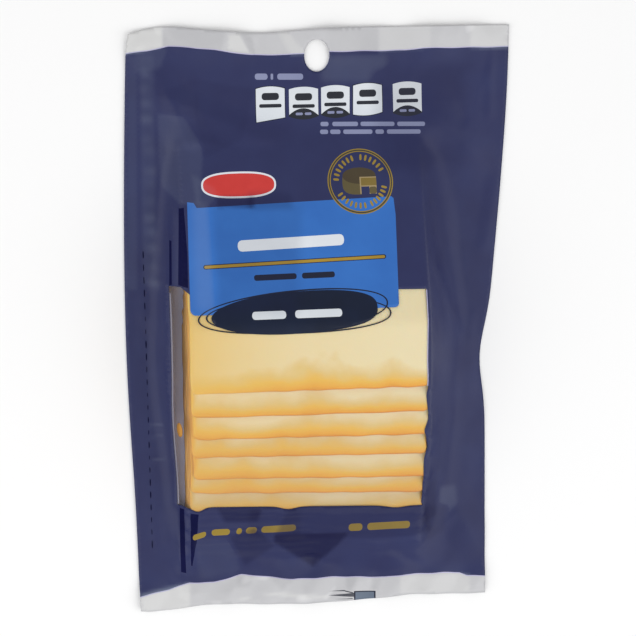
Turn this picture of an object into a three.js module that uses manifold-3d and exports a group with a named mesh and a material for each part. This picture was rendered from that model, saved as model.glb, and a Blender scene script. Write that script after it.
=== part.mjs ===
// Flat film pouch of ten cheese slices, lying on its back with the printed side up.
// Millimetres, +Z up, +Y towards the end with the hang hole, origin under the middle of the pouch.
import * as THREE from 'three';
import { mergeVertices } from 'three/addons/utils/BufferGeometryUtils.js';
import Module from 'manifold-3d';

// Driving dimensions of the pouch
const PACK_LENGTH = 231.5;
const LEFT_CORNER = -73.9;
const LEFT_BOW = 2.95;
const RIGHT_EDGE_TOP = 76.85;
const RIGHT_EDGE_BOTTOM = 67.4;
const TAPER_LENGTH = 160;
const WAIST = { at: -17, depth: 2.9, spread: 16 };
const TOP_PEAK = 1.3;
const LEFT_WAVES = [{ at: -72, rise: 1.05, spread: 42 }, { at: 117, rise: 1.1, spread: 6 }];
const TOP_WAVES = [
  { at: -76, rise: -1.9, spread: 7 },
  { at: -59, rise: TOP_PEAK, spread: 12 },
  { at: -21, rise: -1.6, spread: 17 },
];
const BOTTOM_WAVES = [
  { at: -76, rise: 1.2, spread: 5 },
  { at: -43, rise: 2, spread: 17 },
  { at: 37, rise: 1.2, spread: 12 },
];
const FILM = 0.3;
const GAP = 0.15;
const TOP_SEAL_FROM = 95;
const BOTTOM_SEAL_FROM = -102;
const SIDE_SEAL = 5;

// Hang hole through both webs
const HOLE_X = 0;
const HOLE_Y = 103.7;
const HOLE_WIDTH = 9.9;
const HOLE_HEIGHT = 12.5;
const HOLE_SIDES = 24;

// The slices, first one on top; each lies further down the pouch, and its ends slant a little more
const SLICE_SIDE = 93.5;
const SLICE_THICK = 2.3;
const SLICE_GAP = 0.12;
const FIRST_LOWER_EDGE = -24;
const STEPS = [10.1, 9.4, 8, 9.5, 6.5, 8.6, 6.5, 6, 5.5];
const LEFT_SIDE = -54.4;
const SIDE_SHIFTS = [0, 0.4, 1.1, 0.6, 1.3, 0.5, 0.3, 0, -0.3, -0.4];
const SLANT_FIRST = -0.5;
const SLANT_STEP = -0.4;
const SLANT_LAST = -2.9;
const SLICE_STATION = 2.2;

// Clear window in the printed web, and the label that hangs into it from above
const WINDOW = { left: -60, right: 39, top: 14.3, bottomLeft: -71.4, bottomRight: -75.4 };
const LABEL = { left: -53.9, right: 27.5, bottom: 7 };
const WINDOW_SEAM = 0.3;

// How tightly the front web is drawn down round the stack, as curvature per mm
const PULL_LEFT = 0.26;
const PULL_RIGHT = 0.085;
const PULL_ENDS = 0.02;

const COLUMNS = 42;
const ROWS = 52;
const RELAX_ROUNDS = 900;

const NAVY = 0x3a3d60;
const CLEAR = 0xdfe3ea;
const BACK = 0x343757;
const CHEESE = 0xe8c98a;
const RIND = 0xe2b468;

const film = (color, roughness) => new THREE.MeshStandardMaterial({ color, roughness, metalness: 0 });
const smooth = (t) => {
  const c = Math.min(1, Math.max(0, t));
  return c * c * (3 - 2 * c);
};

// Outline: a left edge that bows out, a right edge that tapers in to a waist, gently waved ends
const swell = (place, { at, spread }) => Math.exp(-(((place - at) / spread) ** 2));
const waved = (place, waves) => waves.reduce((sum, wave) => sum + wave.rise * swell(place, wave), 0);
function leftAt(y) {
  const bow = LEFT_BOW * Math.sin(Math.PI * (y / PACK_LENGTH + 0.5));
  return LEFT_CORNER - bow + waved(y, LEFT_WAVES);
}
function rightAt(y) {
  const down = smooth((PACK_LENGTH / 2 - y) / TAPER_LENGTH);
  const taper = (RIGHT_EDGE_TOP - RIGHT_EDGE_BOTTOM) * down;
  return RIGHT_EDGE_TOP - taper - WAIST.depth * swell(y, WAIST);
}
const topAt = (x) => PACK_LENGTH / 2 - TOP_PEAK + waved(x, TOP_WAVES);
const bottomAt = (x) => -PACK_LENGTH / 2 + waved(x, BOTTOM_WAVES);

// A point of the pouch from shares of its width and length
function pouchPoint(u, v) {
  const nominalY = -PACK_LENGTH / 2 + PACK_LENGTH * v;
  const x = leftAt(nominalY) + (rightAt(nominalY) - leftAt(nominalY)) * u;
  return [x, bottomAt(x) + (topAt(x) - bottomAt(x)) * v];
}

// Slices

function placeSlice(index) {
  const lower = FIRST_LOWER_EDGE - STEPS.slice(0, index).reduce((sum, step) => sum + step, 0);
  const slant = THREE.MathUtils.degToRad(Math.max(SLANT_LAST, SLANT_FIRST + SLANT_STEP * index));
  const half = SLICE_SIDE / 2;
  return { x: LEFT_SIDE + SIDE_SHIFTS[index] + half, y: lower + half, slope: Math.tan(slant), half };
}
const slices = Array.from({ length: STEPS.length + 1 }, (_, index) => placeSlice(index));

// Underside heights along the slice's length: limp, so it hangs over the ends of those beneath it
function drape(index) {
  const slice = slices[index];
  const count = Math.round(SLICE_SIDE / SLICE_STATION);
  const stations = Array.from({ length: count + 1 }, (_, i) => -slice.half + (SLICE_SIDE * i) / count);
  const topUnder = (s) => {
    let top = FILM;
    for (const under of slices.slice(index + 1)) {
      const along = s + slice.y - under.y;
      const skew = under.half * Math.abs(slice.slope - under.slope);
      if (along < under.half + skew) {
        top = Math.max(top, heightAlong(under, Math.min(along, under.half)) + SLICE_THICK);
      }
    }
    return top;
  };
  // Each station clears everything within one station of it
  const reach = [-1, -0.5, 0, 0.5, 1].map((share) => share * SLICE_STATION);
  const support = stations.map((s) => Math.max(...reach.map((shift) => topUnder(s + shift))) + SLICE_GAP);
  const heights = [...support];
  for (let round = 0; round < RELAX_ROUNDS; round++) {
    for (let i = 1; i < count; i++) {
      heights[i] = Math.max(support[i], (heights[i - 1] + heights[i + 1]) / 2);
    }
  }
  return { stations, heights };
}

function heightAlong(slice, along) {
  const { stations, heights } = slice.profile;
  const place = ((along + slice.half) / SLICE_SIDE) * (stations.length - 1);
  const i = Math.min(stations.length - 2, Math.max(0, Math.floor(place)));
  return heights[i] + (heights[i + 1] - heights[i]) * (place - i);
}

for (let index = slices.length - 1; index >= 0; index--) {
  slices[index].profile = drape(index);
}

function makeSlice(slice, name) {
  const { stations, heights } = slice.profile;
  const bends = stations.map((s, i) => [s, heights[i]]).filter(([, z], i) => {
    const inner = i > 0 && i < stations.length - 1;
    return !inner || Math.abs(heights[i - 1] + heights[i + 1] - 2 * z) > 1e-3;
  });
  const shape = new THREE.Shape();
  bends.forEach(([s, z], i) => (i ? shape.lineTo(s, z) : shape.moveTo(s, z)));
  [...bends].reverse().forEach(([s, z]) => shape.lineTo(s, z + SLICE_THICK));
  const geometry = new THREE.ExtrudeGeometry(shape, { depth: SLICE_SIDE, bevelEnabled: false });
  // The profile stands in Y and Z, and its depth runs across the pouch along the slant
  geometry.translate(0, 0, -slice.half);
  geometry.applyMatrix4(new THREE.Matrix4().set(0, 0, 1, 0, 1, 0, slice.slope, 0, 0, 1, 0, 0, 0, 0, 0, 1));
  const mesh = new THREE.Mesh(geometry, film(name === 'slice_01' ? CHEESE : RIND, 0.55));
  mesh.name = name;
  mesh.position.set(slice.x, slice.y, 0);
  return mesh;
}

// Height of the stack at a point, or nothing where no slice lies
function stackHeight(x, y) {
  for (const slice of slices) {
    const across = x - slice.x;
    const along = y - slice.y - slice.slope * across;
    if (Math.abs(across) <= slice.half && Math.abs(along) <= slice.half) {
      return heightAlong(slice, along) + SLICE_THICK;
    }
  }
  return 0;
}

// Front web: a net of points drawn tight over the stack and down to the seals

const floorHeight = FILM + GAP;
const net = [];
for (let row = 0; row <= ROWS; row++) {
  net.push([]);
  for (let column = 0; column <= COLUMNS; column++) {
    const [x, y] = pouchPoint(column / COLUMNS, row / ROWS);
    net[row].push({ x, y, least: floorHeight, z: floorHeight });
  }
}

const CELL_SAMPLES = 6;
for (let row = 0; row < ROWS; row++) {
  for (let column = 0; column < COLUMNS; column++) {
    let highest = 0;
    for (let i = 0; i <= CELL_SAMPLES; i++) {
      for (let j = 0; j <= CELL_SAMPLES; j++) {
        const u = (column + i / CELL_SAMPLES) / COLUMNS;
        const v = (row + j / CELL_SAMPLES) / ROWS;
        highest = Math.max(highest, stackHeight(...pouchPoint(u, v)));
      }
    }
    const corners = [...net[row].slice(column, column + 2), ...net[row + 1].slice(column, column + 2)];
    for (const point of corners) {
      if (highest) point.least = Math.max(point.least, highest + GAP);
    }
  }
}

const stackBottom = slices.at(-1).y - slices.at(-1).half;
const stackTop = slices[0].y + slices[0].half;
function pullAt(x, y) {
  if (y < stackBottom || y > stackTop) return PULL_ENDS;
  return x < slices[0].x ? PULL_LEFT : PULL_RIGHT;
}
const sealed = ({ x, y }) =>
  y > TOP_SEAL_FROM || y < BOTTOM_SEAL_FROM || x < leftAt(y) + SIDE_SEAL || x > rightAt(y) - SIDE_SEAL;

const across = (RIGHT_EDGE_TOP - LEFT_CORNER) / COLUMNS;
const lengthwise = PACK_LENGTH / ROWS;
const weightX = 1 / across ** 2;
const weightY = 1 / lengthwise ** 2;
for (const line of net) {
  for (const point of line) point.z = point.least;
}
for (let round = 0; round < RELAX_ROUNDS; round++) {
  for (let row = 1; row < ROWS; row++) {
    for (let column = 1; column < COLUMNS; column++) {
      const point = net[row][column];
      if (sealed(point)) continue;
      const sides = net[row][column - 1].z + net[row][column + 1].z;
      const ends = net[row - 1][column].z + net[row + 1][column].z;
      const pulled = weightX * sides + weightY * ends - pullAt(point.x, point.y);
      point.z = Math.max(point.least, pulled / (2 * (weightX + weightY)));
    }
  }
}

// Closes a net of points into a thin web, thickened upwards
function webOf(points, under, over) {
  const rows = points.length;
  const columns = points[0].length;
  const positions = [];
  for (const height of [under, over]) {
    for (const line of points) {
      for (const point of line) positions.push(point.x, point.y, height(point));
    }
  }
  const layer = rows * columns;
  const at = (row, column, upper) => row * columns + column + (upper ? layer : 0);
  const faces = [];
  const quad = (a, b, c, d) => faces.push(a, b, c, a, c, d);
  for (let row = 0; row < rows - 1; row++) {
    for (let column = 0; column < columns - 1; column++) {
      quad(at(row, column, 1), at(row, column + 1, 1), at(row + 1, column + 1, 1), at(row + 1, column, 1));
      const low = [at(row, column), at(row, column + 1), at(row + 1, column + 1), at(row + 1, column)];
      faces.push(low[0], low[2], low[1], low[0], low[3], low[2]);
    }
  }
  for (let column = 0; column < columns - 1; column++) {
    const last = rows - 1;
    quad(at(0, column), at(0, column + 1), at(0, column + 1, 1), at(0, column, 1));
    quad(at(last, column + 1), at(last, column), at(last, column, 1), at(last, column + 1, 1));
  }
  for (let row = 0; row < rows - 1; row++) {
    const last = columns - 1;
    quad(at(row + 1, 0), at(row, 0), at(row, 0, 1), at(row + 1, 0, 1));
    quad(at(row, last), at(row + 1, last), at(row + 1, last, 1), at(row, last, 1));
  }
  const geometry = new THREE.BufferGeometry();
  geometry.setAttribute('position', new THREE.Float32BufferAttribute(positions, 3));
  geometry.setIndex(faces);
  return geometry;
}

// Steeper stretches are thickened more, so that the web keeps its gauge
function steepness(row, column) {
  const left = net[row][Math.max(0, column - 1)];
  const right = net[row][Math.min(COLUMNS, column + 1)];
  const below = net[Math.max(0, row - 1)][column];
  const above = net[Math.min(ROWS, row + 1)][column];
  return Math.hypot((right.z - left.z) / (right.x - left.x), (above.z - below.z) / (above.y - below.y));
}
net.forEach((line, row) => line.forEach((point, column) => {
  point.gauge = FILM * Math.min(2, Math.hypot(1, steepness(row, column)));
}));
const frontWeb = webOf(net, (point) => point.z, (point) => point.z + point.gauge);

// Booleans

const wasm = await Module();
wasm.setup();

function toManifold(geometry) {
  const bare = geometry.clone();
  bare.deleteAttribute('normal');
  bare.deleteAttribute('uv');
  const merged = mergeVertices(bare, 1e-4);
  return new wasm.Manifold(new wasm.Mesh({
    numProp: 3,
    vertProperties: new Float32Array(merged.getAttribute('position').array),
    triVerts: new Uint32Array(merged.getIndex().array),
  }));
}

function toMesh(manifold, name, material) {
  const { vertProperties, triVerts } = manifold.getMesh();
  const geometry = new THREE.BufferGeometry();
  geometry.setAttribute('position', new THREE.BufferAttribute(vertProperties, 3));
  geometry.setIndex(new THREE.BufferAttribute(triVerts, 1));
  geometry.computeVertexNormals();
  const mesh = new THREE.Mesh(geometry, material);
  mesh.name = name;
  return mesh;
}

function prism(shape, from, to) {
  const geometry = new THREE.ExtrudeGeometry(shape, { depth: to - from, bevelEnabled: false });
  geometry.translate(0, 0, from);
  return toManifold(geometry);
}

const PRISM_FROM = -5;
const PRISM_TO = 40;

function holePrism() {
  const points = Array.from({ length: HOLE_SIDES }, (_, i) => {
    const angle = (2 * Math.PI * i) / HOLE_SIDES;
    return new THREE.Vector2(
      HOLE_X + (HOLE_WIDTH / 2) * Math.cos(angle),
      HOLE_Y + (HOLE_HEIGHT / 2) * Math.sin(angle),
    );
  });
  return prism(new THREE.Shape(points), PRISM_FROM, PRISM_TO);
}

// The window's outline, drawn in by an inset, with the label's foot left out of it
function windowPrism(inset) {
  const shape = new THREE.Shape();
  shape.moveTo(WINDOW.left + inset, WINDOW.bottomLeft + inset);
  shape.lineTo(WINDOW.right - inset, WINDOW.bottomRight + inset);
  shape.lineTo(WINDOW.right - inset, WINDOW.top - inset);
  shape.lineTo(LABEL.right + inset, WINDOW.top - inset);
  shape.lineTo(LABEL.right + inset, LABEL.bottom - inset);
  shape.lineTo(LABEL.left - inset, LABEL.bottom - inset);
  shape.lineTo(LABEL.left - inset, WINDOW.top - inset);
  shape.lineTo(WINDOW.left + inset, WINDOW.top - inset);
  return prism(shape, PRISM_FROM, PRISM_TO);
}

function makeBackFilm() {
  const steps = 26;
  const share = (i) => i / steps;
  const outline = [
    ...Array.from({ length: steps }, (_, i) => pouchPoint(share(i), 0)),
    ...Array.from({ length: steps }, (_, i) => pouchPoint(1, share(i))),
    ...Array.from({ length: steps }, (_, i) => pouchPoint(1 - share(i), 1)),
    ...Array.from({ length: steps }, (_, i) => pouchPoint(0, 1 - share(i))),
  ];
  const shape = new THREE.Shape(outline.map(([x, y]) => new THREE.Vector2(x, y)));
  return prism(shape, 0, FILM);
}

const hole = holePrism();
const front = toManifold(frontWeb).subtract(hole);

const group = new THREE.Group();
group.add(toMesh(makeBackFilm().subtract(hole), 'back_film', film(BACK, 0.4)));
group.add(toMesh(front.subtract(windowPrism(0)), 'printed_film', film(NAVY, 0.4)));
group.add(toMesh(front.intersect(windowPrism(WINDOW_SEAM)), 'window_film', film(CLEAR, 0.15)));
slices.forEach((slice, index) => {
  group.add(makeSlice(slice, `slice_${String(index + 1).padStart(2, '0')}`));
});

export default group;
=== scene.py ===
# %% [markdown]
# # A pack of sliced cheese
# The pack is two webs of plastic film, welded along their edges round ten limp slices of cheese.
# The front web is printed navy on its inner side, except for a clear window and the two seal bands.
# It lies on its back, and the camera looks down on it, a little from the left and from the top end.
# Lengths here are in millimetres, because print and film are measured in them. Each mesh is made
# in metres at its place in the pack, so that every object stays at the origin.

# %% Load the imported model
import math

import bpy
import numpy as np
from mathutils import Matrix, Vector, kdtree
from mathutils.geometry import delaunay_2d_cdt


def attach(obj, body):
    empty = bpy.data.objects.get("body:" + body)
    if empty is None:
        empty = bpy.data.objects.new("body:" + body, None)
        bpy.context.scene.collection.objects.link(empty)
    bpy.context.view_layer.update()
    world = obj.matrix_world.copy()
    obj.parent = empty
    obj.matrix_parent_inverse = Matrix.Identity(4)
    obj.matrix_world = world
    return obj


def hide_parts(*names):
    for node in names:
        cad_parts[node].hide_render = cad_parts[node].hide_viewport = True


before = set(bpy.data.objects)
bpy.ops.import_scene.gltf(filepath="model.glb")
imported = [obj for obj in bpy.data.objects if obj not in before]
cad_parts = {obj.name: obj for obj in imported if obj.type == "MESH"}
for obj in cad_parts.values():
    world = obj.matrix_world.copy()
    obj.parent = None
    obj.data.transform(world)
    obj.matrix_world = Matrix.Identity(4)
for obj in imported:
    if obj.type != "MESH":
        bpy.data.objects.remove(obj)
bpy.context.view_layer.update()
MM = 0.001

# %% [markdown]
# ## The pouch's outline
# A filled pouch isn't a true rectangle: the stack pulls its sides in. The left edge bows out a
# little, the right edge draws in to a waist beside the thickest part of the stack, and the two
# ends wave. Each edge is a short formula, so the film, the seals and the print all share it.

# %% Outline
PACK_LENGTH = 231.5
LEFT_CORNER, LEFT_BOW = -73.9, 2.95
RIGHT_TOP, RIGHT_BOTTOM, TAPER_LENGTH = 76.85, 67.4, 160.0
WAIST = (-17, -2.9, 16)
TOP_PEAK = 1.3
LEFT_WAVES = [(-72, 1.05, 42), (117, 1.1, 6)]
TOP_WAVES = [(-76, -1.9, 7), (-59, TOP_PEAK, 12), (-21, -1.6, 17)]
BOTTOM_WAVES = [(-76, 1.2, 5), (-43, 2, 17), (37, 1.2, 12)]


def smooth(t):
    t = np.clip(t, 0.0, 1.0)
    return t * t * (3 - 2 * t)


def swell(place, wave):
    at, rise, spread = wave
    return rise * np.exp(-(((place - at) / spread) ** 2))


def waved(place, waves):
    return sum(swell(place, wave) for wave in waves)


def left_at(y):
    bow = LEFT_BOW * np.sin(np.pi * (np.clip(y / PACK_LENGTH, -0.5, 0.5) + 0.5))
    return LEFT_CORNER - bow + waved(y, LEFT_WAVES)


def right_at(y):
    down = smooth((PACK_LENGTH / 2 - y) / TAPER_LENGTH)
    return RIGHT_TOP - (RIGHT_TOP - RIGHT_BOTTOM) * down + swell(y, WAIST)


def top_at(x):
    return PACK_LENGTH / 2 - TOP_PEAK + waved(x, TOP_WAVES)


def bottom_at(x):
    return -PACK_LENGTH / 2 + waved(x, BOTTOM_WAVES)


print("pouch:", round(RIGHT_TOP - LEFT_CORNER + LEFT_BOW, 1), "by", PACK_LENGTH, "mm")

# %% [markdown]
# ## How the slices lie
# The slices were laid down like shingles: each one sits lower in the pack than the one on top of
# it, and its ends slant a little more. A slice is limp, so its far end hangs over the ends of those
# beneath it. Its underside is found as a string drawn tight over the steps of the stack.

# %% Places and drape of the slices
SLICE_SIDE, SLICE_THICK, SLICE_GAP = 93.5, 2.3, 0.12
HALF_SIDE = SLICE_SIDE / 2
FIRST_LOWER_EDGE = -24.0
STEPS = [10.1, 9.4, 8.0, 9.5, 6.5, 8.6, 6.5, 6.0, 5.5]
LEFT_SIDE = -54.4
SIDE_SHIFTS = [0, 0.4, 1.1, 0.6, 1.3, 0.5, 0.3, 0, -0.3, -0.4]
SLANT_FIRST, SLANT_STEP, SLANT_LAST = -0.5, -0.4, -2.9
FILM_FLOOR = 0.3
STATION = 1.0
TIGHTENING_ROUNDS = 2500


def place_slice(index):
    """The middle of a slice, and how its ends slope across the pack."""
    slope = math.tan(math.radians(max(SLANT_LAST, SLANT_FIRST + SLANT_STEP * index)))
    return {"x": LEFT_SIDE + SIDE_SHIFTS[index] + HALF_SIDE,
            "y": FIRST_LOWER_EDGE - sum(STEPS[:index]) + HALF_SIDE, "slope": slope}


def underside(this, beneath):
    """Heights along a slice's underside, drawn tight over the slices beneath it."""
    along = np.linspace(-HALF_SIDE, HALF_SIDE, round(SLICE_SIDE / STATION) + 1)
    support = np.full_like(along, FILM_FLOOR)
    for under in beneath:
        skew = HALF_SIDE * abs(this["slope"] - under["slope"])
        place = along + this["y"] - under["y"]
        for shift in (-skew, 0, skew):
            nearest = np.clip(place + shift, -HALF_SIDE, HALF_SIDE)
            top = np.interp(nearest, under["along"], under["height"]) + SLICE_THICK
            support = np.maximum(support, np.where(place - skew < HALF_SIDE + STATION, top, FILM_FLOOR))
    support += SLICE_GAP
    height = support.copy()
    for _ in range(TIGHTENING_ROUNDS):
        height[1:-1] = np.maximum(support[1:-1], (height[:-2] + height[2:]) / 2)
    return along, height


slices = [place_slice(index) for index in range(len(STEPS) + 1)]
for index in reversed(range(len(slices))):
    slices[index]["along"], slices[index]["height"] = underside(slices[index], slices[index + 1:])
print("stack height, mm:", round(max(slices[0]["height"]) + SLICE_THICK, 2))


def stack_top(x, y):
    """The height of the topmost slice at any place, and 0 beside the stack."""
    top = np.zeros(np.broadcast(x, y).shape)
    for this in reversed(slices):
        across = x - this["x"]
        along = y - this["y"] - this["slope"] * across
        over = (abs(across) <= HALF_SIDE) & (abs(along) <= HALF_SIDE)
        top = np.where(over, np.interp(along, this["along"], this["height"]) + SLICE_THICK, top)
    return top


# %% [markdown]
# ## How the front web is drawn over the stack
# The film is stretched between the seals and the stack, like a soap film that can't pass through
# the cheese. It could be draped by a cloth simulation, but that would be slow and would wander
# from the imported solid. So its heights are relaxed on a grid: each point settles at the mean of
# its neighbours, less a small pull towards the table, and never below the slices. The grid starts
# coarse and is refined, which settles the long slopes quickly.

# %% Heights of the front web
TOP_SEAL_FROM, BOTTOM_SEAL_FROM, SIDE_SEAL = 95.0, -102.0, 5.0
PULL_LEFT, PULL_RIGHT, PULL_ENDS = 0.26, 0.085, 0.02
SEAL_HEIGHT, WEB_CLEARANCE = 0.45, 0.12
GRID_X, GRID_Y, FINEST = 79.2, 118.8, 0.9
# How many times coarser than the finest each grid is, and how many rounds it settles
GRIDS = [(8, 60), (4, 90), (2, 120), (1, 160)]
# Each step goes further than the mean asks for, which settles the grid in fewer rounds
OVERSHOOT = 1.6
stack_bottom, stack_end = slices[-1]["y"] - HALF_SIDE, slices[0]["y"] + HALF_SIDE


def grid(cell):
    return np.meshgrid(*(np.arange(-half, half + 0.1, cell) for half in (GRID_X, GRID_Y)))


def widest(a):
    """Each point takes the highest value of itself and its neighbours."""
    wide = np.pad(a, 1, mode="edge")
    rows, columns = a.shape
    return np.max([wide[i:i + rows, j:j + columns] for i in range(3) for j in range(3)], axis=0)


def settle(cell, start, rounds):
    x, y = grid(cell)
    least = np.maximum(widest(stack_top(x, y)) + WEB_CLEARANCE, SEAL_HEIGHT)
    free = (y < TOP_SEAL_FROM) & (y > BOTTOM_SEAL_FROM)
    free &= (x > left_at(y) + SIDE_SEAL) & (x < right_at(y) - SIDE_SEAL)
    pull = np.where(x < slices[0]["x"], PULL_LEFT, PULL_RIGHT)
    pull = np.where((y < stack_bottom) | (y > stack_end), PULL_ENDS, pull)
    z = np.maximum(start, least)
    squares = (np.add.outer(np.arange(z.shape[0]), np.arange(z.shape[1])) % 2)[1:-1, 1:-1]
    inner = free[1:-1, 1:-1]
    for _ in range(rounds):
        for colour in (0, 1):
            beside = z[1:-1, :-2] + z[1:-1, 2:]
            before = z[:-2, 1:-1] + z[2:, 1:-1]
            mean = (beside + before - pull[1:-1, 1:-1] * cell ** 2) / 4
            moved = np.maximum(least[1:-1, 1:-1], z[1:-1, 1:-1] + OVERSHOOT * (mean - z[1:-1, 1:-1]))
            z[1:-1, 1:-1] = np.where(inner & (squares == colour), moved, z[1:-1, 1:-1])
    return x, y, z, least


def sample(field, x, y):
    """A grid's value at any point, blended between the four nearest grid points."""
    gx, gy, values = field
    cell = gx[0, 1] - gx[0, 0]
    i = np.clip((x - gx[0, 0]) / cell, 0, gx.shape[1] - 1.001)
    j = np.clip((y - gy[0, 0]) / cell, 0, gx.shape[0] - 1.001)
    i0, j0 = i.astype(int), j.astype(int)
    u, v = i - i0, j - j0
    low = values[j0, i0] * (1 - u) + values[j0, i0 + 1] * u
    high = values[j0 + 1, i0] * (1 - u) + values[j0 + 1, i0 + 1] * u
    return low * (1 - v) + high * v


def blurred(a, rounds):
    """Blurs along the rows, then turned round along the columns, and so on."""
    for _ in range(2 * rounds):
        wide = np.pad(a, ((0, 0), (1, 1)), mode="edge")
        a = ((wide[:, :-2] + 2 * wide[:, 1:-1] + wide[:, 2:]) / 4).T
    return a


start = SEAL_HEIGHT
for times, rounds in GRIDS:
    grid_x, grid_y, heights, least = settle(FINEST * times, start, rounds)
    start = sample((grid_x, grid_y, heights), *grid(FINEST * times / 2))
# Film is stiff enough to round off the slices' edges, and may come this much nearer to them
NEARER = 0.05
heights = np.maximum(blurred(heights, 3), least - NEARER)
print("web's highest point, mm:", round(float(heights.max()), 2), "on a grid of", heights.shape)

# %% [markdown]
# ## Creases and facets
# Film can't stretch, so it takes up its slack in straight folds with flat facets between them.
# A fold is a low ridge or valley along a line, fading out at its ends. The larger ones are placed
# where the pack shows them, and small ones are scattered from a fixed seed over the loose margins.
# Near the slices the film is tight and the folds fade away.

# %% Folds in the film
rng = np.random.default_rng(7)


def fold(x, y, start, end, height, width):
    """A tent along the line from start to end. Its slopes are flat, as a folded film's are."""
    ax, ay = start
    dx, dy = end[0] - ax, end[1] - ay
    length = math.hypot(dx, dy)
    along = ((x - ax) * dx + (y - ay) * dy) / length
    beside = abs((x - ax) * dy - (y - ay) * dx) / length
    tent = np.clip(1 - beside / width, 0, 1)
    ends = smooth((along + width) / (2 * width)) * smooth((length - along + width) / (2 * width))
    return height * tent * ends


MAIN_FOLDS = [
    ((-60, 94), (-34, 32), 1.6, 9),
    ((-58, 88), (-18, 70), 1, 7),
    ((-42, 71), (-33, 61), 0.7, 2.2),
    ((-57.5, -73), (-56.4, -101), -1.6, 1.5),
    ((-54.3, -72), (-53.7, -97), -1.3, 1.3),
    ((-56, -73), (-55.2, -100), 1.2, 1.6),
    ((-51.5, -75), (-51.8, -98), 0.8, 2),
    ((-30, -86), (8, -101), -1.2, 9),
    ((10, -84), (34, -101), 1.2, 9),
    ((-40, -98), (-16, -82), 1, 8),
    ((-12, -78), (-1, -99), -1.1, 6),
    ((7, -79), (0, -99), 1, 5),
    ((46, -60), (64, -96), 1, 9),
    ((52, 30), (60, -20), -0.8, 10),
    ((56, -22), (66, -40), 0.8, 10),
    ((44, 84), (66, 60), 1.1, 10),
    ((10, 92), (50, 72), 0.9, 8),
    ((-55.4, 47), (-56, 15), -1.2, 1.4),
    ((-57.6, 44), (-58.6, 14), 0.8, 1.6),
]
# The press-to-close strip is welded under the web: two ribs beside a raised middle, and four crimps
ZIPPER_FOLDS = [
    ((-69.7, 104), (-71.1, 18), 0.2, 1.2),
    ((-62.8, 104), (-64.2, 18), 0.2, 1.2),
    ((-66.2, 104), (-67.6, 18), 0.3, 3.4),
    *(((-68.4, y), (-63.3, y + 0.9), 0.35, 1) for y in (-40, -44.5, -49.5, -54)),
]
# Air is caught in blisters where the strip's weld skipped: the first, the last and their pitch
BLISTERS = {"start": (-67, 99), "end": (-65.3, 17.5), "pitch": 6.4, "radius": 1.9, "rise": 0.7}
# Small folds: how many, what share lies in the end bands, and the bands' places and the folds' lengths
SMALL_FOLDS, END_SHARE = 46, 0.55
END_BAND, END_LENGTHS = (92, 114), (8, 20)
SIDE_BAND, SIDE_LENGTHS = (56, 70), (14, 36)
# The film is tight up to this clearance from the stack, and quite loose this much further off
TIGHT, LOOSENING = 0.1, 2.5
LEAST_LIFT = 0.02
# Where the seals' ripple begins, over what length it grows, and the height of its slow wave
RIPPLE_FROM, RIPPLE_RUN, SLOW_RISE = 98, 16, 0.6
# Each seal's side of the middle and mean rise, its slow wave's length and shift, and its quick
# wave's rise, length and lean
SEAL_RIPPLES = [(1, 0.95, 7.3, 0.8, 0.35, 3.1, 6), (-1, 1, 6.1, 2, 0.4, 2.7, 5)]


def scattered_folds():
    folds = []
    for _ in range(SMALL_FOLDS):
        end_band = rng.random() < END_SHARE
        y = rng.choice([-1, 1]) * rng.uniform(*END_BAND) if end_band else rng.uniform(-95, 95)
        side = rng.choice([-1, 1])
        x = rng.uniform(-70, 70) if end_band else side * rng.uniform(*SIDE_BAND)
        turn = rng.normal(math.pi / 2, 0.5 if end_band else 0.25)
        length = rng.uniform(*(END_LENGTHS if end_band else SIDE_LENGTHS))
        step = (math.cos(turn) * length, math.sin(turn) * length)
        folds.append(((x, y), (x + step[0], y + step[1]), rng.uniform(-0.4, 0.5), rng.uniform(2, 5)))
    return folds


def scattered_blisters():
    (x0, y0), (x1, y1) = BLISTERS["start"], BLISTERS["end"]
    count = round((y0 - y1) / BLISTERS["pitch"]) + 1
    return [(x0 + (x1 - x0) * t + rng.uniform(-0.4, 0.4), y0 + (y1 - y0) * t + rng.uniform(-1.2, 1.2),
             rng.uniform(0.3, 1.0)) for t in np.linspace(0, 1, count)]


def blister_at(x, y):
    """Rises to 1 in the middle of a full blister, and less in a weak one."""
    total = 0.0
    for bx, by, full in PLACED:
        total = total + full * np.exp(-((x - bx) ** 2 + (y - by) ** 2) / BLISTERS["radius"] ** 2)
    return total


def seal_wave(x, y):
    """The welded ends ripple across their width, most at their outer edge."""
    total = 0.0
    for end, base, slow, shift, rise, quick, lean in SEAL_RIPPLES:
        ripple = base + SLOW_RISE * np.sin(x / slow + shift) + rise * np.sin(x / quick + end * y / lean)
        total = total + smooth((end * y - RIPPLE_FROM) / RIPPLE_RUN) * ripple
    return total


def relief(x, y):
    folds = sum(fold(x, y, *each) for each in MAIN_FOLDS + ZIPPER_FOLDS + SCATTERED)
    return folds + BLISTERS["rise"] * blister_at(x, y)


SCATTERED = scattered_folds()
PLACED = scattered_blisters()
loose = np.clip((heights - least - TIGHT) / LOOSENING, 0, 1)
margin = np.where(stack_top(grid_x, grid_y) > 0, 0.0, 1.0)
slack = np.maximum(loose, blurred(margin, 3))
front_heights = heights + np.maximum(relief(grid_x, grid_y) * slack, SEAL_HEIGHT - heights)
ripple = seal_wave(grid_x, grid_y)
front_field = (grid_x, grid_y, np.maximum(blurred(front_heights, 1), least + LEAST_LIFT) + ripple)
back_field = (grid_x, grid_y, ripple)
print("folds:", len(MAIN_FOLDS), "placed,", len(SCATTERED), "scattered; blisters:", len(PLACED))
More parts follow.
